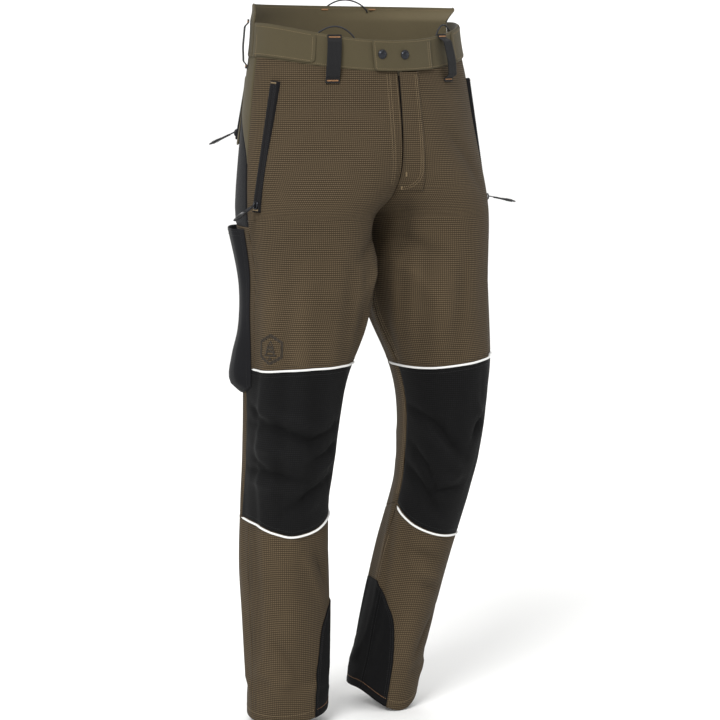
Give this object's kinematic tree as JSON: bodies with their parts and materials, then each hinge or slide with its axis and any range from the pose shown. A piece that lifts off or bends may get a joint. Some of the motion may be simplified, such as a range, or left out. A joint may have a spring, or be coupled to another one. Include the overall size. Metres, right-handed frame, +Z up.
{
  "type": "chainsaw protective trousers",
  "caption": "Forestry work trousers with internal cut-protection pads, black knee panels, raised back waistband, belt loops, zipped pockets and ankle guards.",
  "frame": {"origin": "centre of the waist opening, level with the top edge of the front waistband", "axes": "+Z up the standing wearer, -Y the wearer's front, +X the wearer's left"},
  "size_m": [0.4908, 0.2795, 1.11],
  "materials": {
    "ripstop_brown": "matt ripstop weave, brown with tan grid",
    "ripstop_black": "matt ripstop weave, black",
    "twill_olive": "matt fine twill, olive",
    "stretch_black": "matt stretch weave, black",
    "reflective": "silver reflective piping",
    "webbing_black": "ribbed webbing, black",
    "cord_black": "round elastic cord, black",
    "zip_black": "woven zip tape with coil, black",
    "gunmetal": "dark satin metal",
    "pad_yellow": "layered cut-protection fibre pad in a knitted cover"
  },
  "bodies": {
    "trousers": {"right_front_waistband": "twill_olive", "left_front_waistband": "twill_olive", "back_waistband": "twill_olive", "right_thigh_front_panel": "ripstop_brown", "right_side_hip_panel": "twill_olive", "right_seat_panel": "stretch_black", "right_thigh_back_panel": "ripstop_brown", "right_knee_front_panel": "ripstop_black", "right_knee_back_panel": "ripstop_brown", "right_knee_upper_piping": "reflective", "right_protective_inlay": "pad_yellow", "right_hand_zip_tape": "zip_black", "right_front_belt_loop": "webbing_black", "right_side_belt_loop": "webbing_black", "right_brace_loop": "cord_black", "left_thigh_front_panel": "ripstop_brown", "left_side_hip_panel": "twill_olive", "left_seat_panel": "stretch_black", "left_thigh_back_panel": "ripstop_brown", "left_knee_front_panel": "ripstop_black", "left_knee_back_panel": "ripstop_brown", "left_knee_upper_piping": "reflective", "left_protective_inlay": "pad_yellow", "left_hand_zip_tape": "zip_black", "left_front_belt_loop": "webbing_black", "left_side_belt_loop": "webbing_black", "left_brace_loop": "cord_black", "back_zip_tape": "zip_black", "back_pocket_welt": "twill_olive", "fly_zip_tape": "zip_black", "outer_snap_stud": "gunmetal", "inner_snap_stud": "gunmetal", "back_belt_loop": "webbing_black", "back_brace_loop": "cord_black", "right_tool_pocket": "stretch_black", "left_cargo_pocket": "stretch_black"},
    "right_lower_leg": {"right_shin_panel": "ripstop_brown", "right_calf_panel": "ripstop_brown", "right_ankle_guard": "stretch_black", "right_knee_lower_piping": "reflective"},
    "left_lower_leg": {"left_shin_panel": "ripstop_brown", "left_calf_panel": "ripstop_brown", "left_ankle_guard": "stretch_black", "left_knee_lower_piping": "reflective"},
    "fly_flap_body": {"fly_flap": "ripstop_brown"},
    "fly_slider": {"fly_zip_slider": "gunmetal"},
    "waist_tab_body": {"waist_tab": "twill_olive", "outer_snap_cap": "gunmetal", "inner_snap_cap": "gunmetal"},
    "right_adjuster": {"right_adjuster_tab": "twill_olive"},
    "left_adjuster": {"left_adjuster_tab": "twill_olive"},
    "cargo_flap": {"left_cargo_flap": "stretch_black"},
    "right_hand_slider": {"right_hand_zip_slider": "gunmetal"},
    "right_hand_pull": {"right_hand_zip_pull": "webbing_black"},
    "left_hand_slider": {"left_hand_zip_slider": "gunmetal"},
    "left_hand_pull": {"left_hand_zip_pull": "webbing_black"},
    "back_slider": {"back_zip_slider": "gunmetal"},
    "back_pull": {"back_zip_pull": "webbing_black"}
  },
  "joints": [
    {"name": "right_knee", "type": "hinge", "parent": "trousers", "child": "right_lower_leg", "pos_m": [-0.136, -0.02, -0.6], "axis": [1, 0, 0], "range_deg": [0, 90], "deforming": ["right_knee_front_panel", "right_knee_back_panel", "right_protective_inlay"]},
    {"name": "left_knee", "type": "hinge", "parent": "trousers", "child": "left_lower_leg", "pos_m": [0.128, -0.02, -0.6], "axis": [1, 0, 0], "range_deg": [0, 90], "deforming": ["left_knee_front_panel", "left_knee_back_panel", "left_protective_inlay"]},
    {"name": "fly_zip_slide", "type": "slide", "parent": "trousers", "child": "fly_slider", "axis": [0, -0.1523, -0.9883], "range_m": [0, 0.07]},
    {"name": "fly_flap_open", "type": "hinge", "parent": "trousers", "child": "fly_flap_body", "pos_m": [0.036, -0.1155, -0.06], "axis": [0, 0.0972, 0.9953], "range_deg": [0, 45]},
    {"name": "waist_tab_open", "type": "hinge", "parent": "trousers", "child": "waist_tab_body", "pos_m": [0.06336, -0.0979, 0], "axis": [0.0022, 0.1854, 0.9827], "range_deg": [0, 105]},
    {"name": "right_adjuster_peel", "type": "hinge", "parent": "trousers", "child": "right_adjuster", "pos_m": [-0.16965, 0.01518, 0.025], "axis": [-0.1094, -0.0534, -0.9926], "range_deg": [0, 80]},
    {"name": "left_adjuster_peel", "type": "hinge", "parent": "trousers", "child": "left_adjuster", "pos_m": [0.16965, 0.01518, 0.025], "axis": [-0.1094, 0.0534, 0.9926], "range_deg": [0, 80]},
    {"name": "cargo_flap_lift", "type": "hinge", "parent": "trousers", "child": "cargo_flap", "pos_m": [0.18871, 0.0536, -0.269], "axis": [0.4496, -0.8932, 0], "range_deg": [0, 100]},
    {"name": "right_hand_zip_slide", "type": "slide", "parent": "trousers", "child": "right_hand_slider", "axis": [0.1671, 0.0044, 0.9859], "range_m": [0, 0.16]},
    {"name": "right_hand_pull_swing", "type": "hinge", "parent": "right_hand_slider", "child": "right_hand_pull", "pos_m": [-0.20494, -0.04304, -0.24018], "axis": [0.2746, -0.9606, -0.0422], "range_deg": [-55, 50]},
    {"name": "left_hand_zip_slide", "type": "slide", "parent": "trousers", "child": "left_hand_slider", "axis": [-0.1655, 0.0044, 0.9862], "range_m": [0, 0.16]},
    {"name": "left_hand_pull_swing", "type": "hinge", "parent": "left_hand_slider", "child": "left_hand_pull", "pos_m": [0.20463, -0.04304, -0.24019], "axis": [0.2607, 0.9646, 0.0394], "range_deg": [-45, 65]},
    {"name": "back_zip_slide", "type": "slide", "parent": "trousers", "child": "back_slider", "axis": [0.164, -0.056, 0.9849], "range_m": [0, 0.062]},
    {"name": "back_pull_swing", "type": "hinge", "parent": "back_slider", "child": "back_pull", "pos_m": [-0.16594, 0.09357, -0.1392], "axis": [-0.7312, -0.6771, 0.0833], "range_deg": [-50, 45]}
  ]
}
